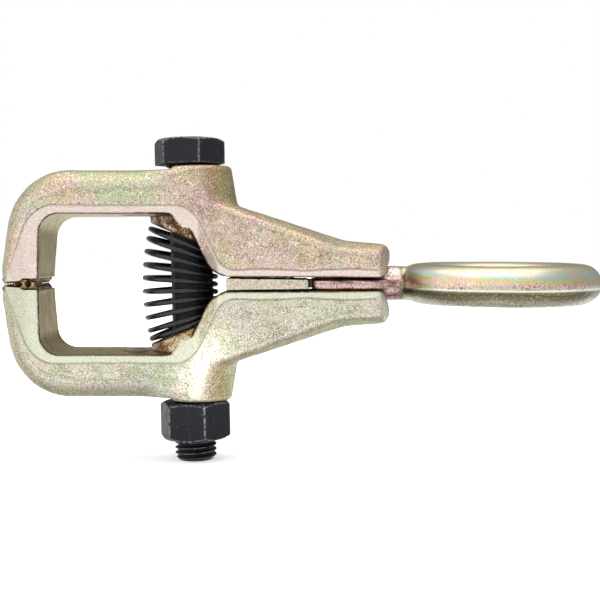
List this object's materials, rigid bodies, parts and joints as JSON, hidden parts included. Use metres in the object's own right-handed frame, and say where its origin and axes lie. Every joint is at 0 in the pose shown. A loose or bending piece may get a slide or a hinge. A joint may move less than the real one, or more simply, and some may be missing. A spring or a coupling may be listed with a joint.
{
  "type": "self-tightening pull clamp",
  "caption": "Steel pull clamp: two forged arms with toothed C jaws, a clamp bolt with a spring round it, a fulcrum block and a pull ring held between the tails.",
  "frame": {"origin": "centre of the pull ring's eye, on the clamp's middle plane", "axes": "+X from the jaws to the pull ring, +Z square to the parting plane between the arms towards the bolt head, +Y across the arms"},
  "size_m": [0.2838, 0.096, 0.1533],
  "materials": {
    "plated_forging": "yellow chromate over zinc, on a shot-blasted forging",
    "plated_ring": "yellow chromate over zinc, smooth",
    "plated_block": "yellow chromate over zinc, machined",
    "black_fastener": "black oxide, satin",
    "black_spring": "black lacquer, gloss",
    "bright_pin": "ground steel"
  },
  "bodies": {
    "spacer": {"fulcrum_block": "plated_block", "locating_pins": "bright_pin", "opening_spring": "black_spring"},
    "top_jaw": {"upper_arm": "plated_forging"},
    "bottom_jaw": {"lower_arm": "plated_forging"},
    "bolt": {"clamp_bolt": "black_fastener"},
    "nut": {"clamp_nut": "black_fastener"},
    "ring": {"pull_ring": "plated_ring"}
  },
  "joints": [
    {"name": "upper_arm_swing", "type": "hinge", "parent": "spacer", "child": "top_jaw", "pos_m": [-0.0564, 0, 0], "axis": [0, 1, 0], "range_deg": [0, 2.76], "deforming": ["opening_spring"]},
    {"name": "lower_arm_swing", "type": "hinge", "parent": "spacer", "child": "bottom_jaw", "pos_m": [-0.0564, 0, 0], "axis": [0, -1, 0], "range_deg": [0, 2.76]},
    {"name": "bolt_turn", "type": "hinge", "parent": "top_jaw", "child": "bolt", "pos_m": [-0.14705, 0, 0], "axis": [-0.0175, 0, 0.9998], "range_deg": [0, 1260]},
    {"name": "nut_travel", "type": "slide", "parent": "top_jaw", "child": "nut", "axis": [0.0175, 0, -0.9998], "range_m": [0, 0.00876]},
    {"name": "ring_slide", "type": "slide", "parent": "spacer", "child": "ring", "axis": [1, 0, 0], "range_m": [-0.0014, 0.002]}
  ],
  "couplings": [
    {"joint": "upper_arm_swing", "follows": "bolt_turn", "ratio": 0.0021865},
    {"joint": "lower_arm_swing", "follows": "bolt_turn", "ratio": 0.0021865},
    {"joint": "nut_travel", "follows": "bolt_turn", "m_per_rad": 0.00039789}
  ]
}
